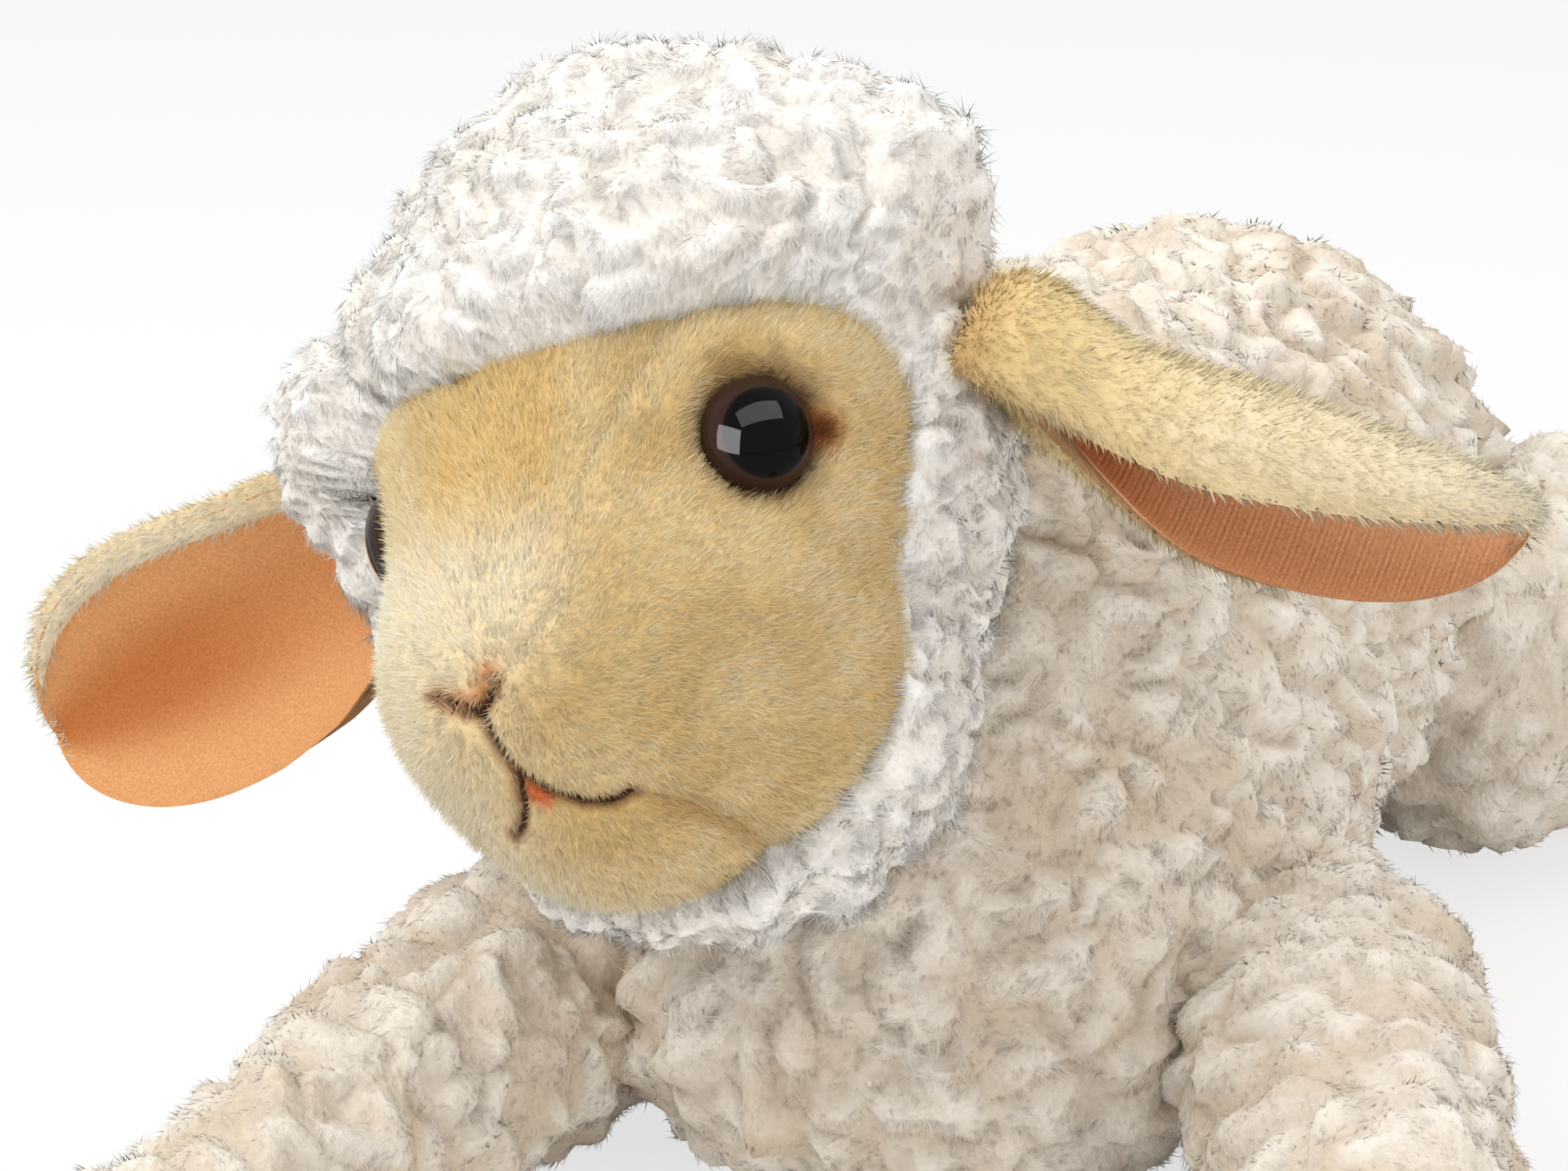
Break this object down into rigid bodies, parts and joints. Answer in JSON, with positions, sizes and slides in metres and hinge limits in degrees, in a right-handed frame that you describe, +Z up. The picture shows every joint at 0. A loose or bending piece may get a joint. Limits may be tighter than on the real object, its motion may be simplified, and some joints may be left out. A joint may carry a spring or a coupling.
{
  "type": "plush sheep",
  "caption": "Lying plush lamb with a shaggy wool coat, velour face, glossy eyes, drooping lined ears and soft jointed limbs.",
  "frame": {"origin": "on the floor, in the middle of the belly's flat", "axes": "+Z up, -Y the way the lamb faces, +X the lamb's left side"},
  "size_m": [0.248, 0.3738, 0.1527],
  "materials": {
    "body_wool": "curly off-white wool pile",
    "hood_wool": "long shaggy white wool pile",
    "velour": "short cream-yellow velour pile",
    "ear_plush": "short cream plush, yellower at the rim",
    "ear_lining": "peach-orange velvet with fine ribs",
    "stuffing": "white polyester filling",
    "eye": "polished black dome with a brown iris ring",
    "washer": "plain moulded plastic",
    "thread": "dark brown embroidery thread"
  },
  "bodies": {
    "trunk": {"body_wool": "body_wool", "body_filling": "stuffing"},
    "neck": {"neck_filling": "stuffing"},
    "head": {"hood_wool": "hood_wool", "forehead_gusset": "velour", "cheek_left": "velour", "cheek_right": "velour", "chin_panel": "velour", "head_filling": "stuffing", "eye_left": "eye", "eye_right": "eye", "eye_washer_left": "washer", "eye_washer_right": "washer", "nose_stitching": "thread", "lip_stitching": "thread", "mouth_stitching": "thread"},
    "left_ear": {"ear_left_plush": "ear_plush", "ear_left_lining": "ear_lining"},
    "right_ear": {"ear_right_plush": "ear_plush", "ear_right_lining": "ear_lining"},
    "left_foreleg": {"foreleg_left_wool": "body_wool", "foreleg_left_foot": "velour", "foreleg_left_filling": "stuffing"},
    "right_foreleg": {"foreleg_right_wool": "body_wool", "foreleg_right_foot": "velour", "foreleg_right_filling": "stuffing"},
    "left_hind_leg": {"hind_leg_left_wool": "body_wool", "hind_leg_left_foot": "velour", "hind_leg_left_filling": "stuffing"},
    "right_hind_leg": {"hind_leg_right_wool": "body_wool", "hind_leg_right_foot": "velour", "hind_leg_right_filling": "stuffing"},
    "tail": {"tail_wool": "body_wool"}
  },
  "joints": [
    {"name": "neck_turn", "type": "hinge", "parent": "trunk", "child": "neck", "pos_m": [-0.00875, -0.09872, 0.08259], "axis": [0, -0.5736, 0.8192], "range_deg": [-18, 18], "stiffness_Nm_per_rad": 0.3},
    {"name": "neck_nod", "type": "hinge", "parent": "neck", "child": "head", "pos_m": [-0.00875, -0.09872, 0.08259], "axis": [0.902, -0.1835, 0.3907], "range_deg": [-10, 5], "stiffness_Nm_per_rad": 0.5},
    {"name": "left_ear_lift", "type": "hinge", "parent": "head", "child": "left_ear", "pos_m": [0.02322, -0.10012, 0.12099], "axis": [-0.1994, -0.9799, 0], "range_deg": [0, 35], "stiffness_Nm_per_rad": 0.02},
    {"name": "right_ear_lift", "type": "hinge", "parent": "head", "child": "right_ear", "pos_m": [-0.05634, -0.08393, 0.08653], "axis": [0.1994, 0.9799, 0], "range_deg": [0, 35], "stiffness_Nm_per_rad": 0.02},
    {"name": "left_foreleg_swing", "type": "hinge", "parent": "trunk", "child": "left_foreleg", "pos_m": [0.05059, -0.05507, 0.02], "axis": [0, 0, 1], "range_deg": [0, 30], "stiffness_Nm_per_rad": 0.15},
    {"name": "right_foreleg_swing", "type": "hinge", "parent": "trunk", "child": "right_foreleg", "pos_m": [-0.04411, -0.07693, 0.02], "axis": [0, 0, -1], "range_deg": [0, 30], "stiffness_Nm_per_rad": 0.15},
    {"name": "left_hind_leg_swing", "type": "hinge", "parent": "trunk", "child": "left_hind_leg", "pos_m": [0.0432, 0.066, 0.0325], "axis": [0, 0, -1], "range_deg": [0, 25], "stiffness_Nm_per_rad": 0.15},
    {"name": "right_hind_leg_swing", "type": "hinge", "parent": "trunk", "child": "right_hind_leg", "pos_m": [-0.0432, 0.066, 0.0325], "axis": [0, 0, 1], "range_deg": [0, 25], "stiffness_Nm_per_rad": 0.15},
    {"name": "tail_lift", "type": "hinge", "parent": "trunk", "child": "tail", "pos_m": [0, 0.1, 0.0672], "axis": [1, 0, 0], "range_deg": [0, 40], "stiffness_Nm_per_rad": 0.01}
  ]
}
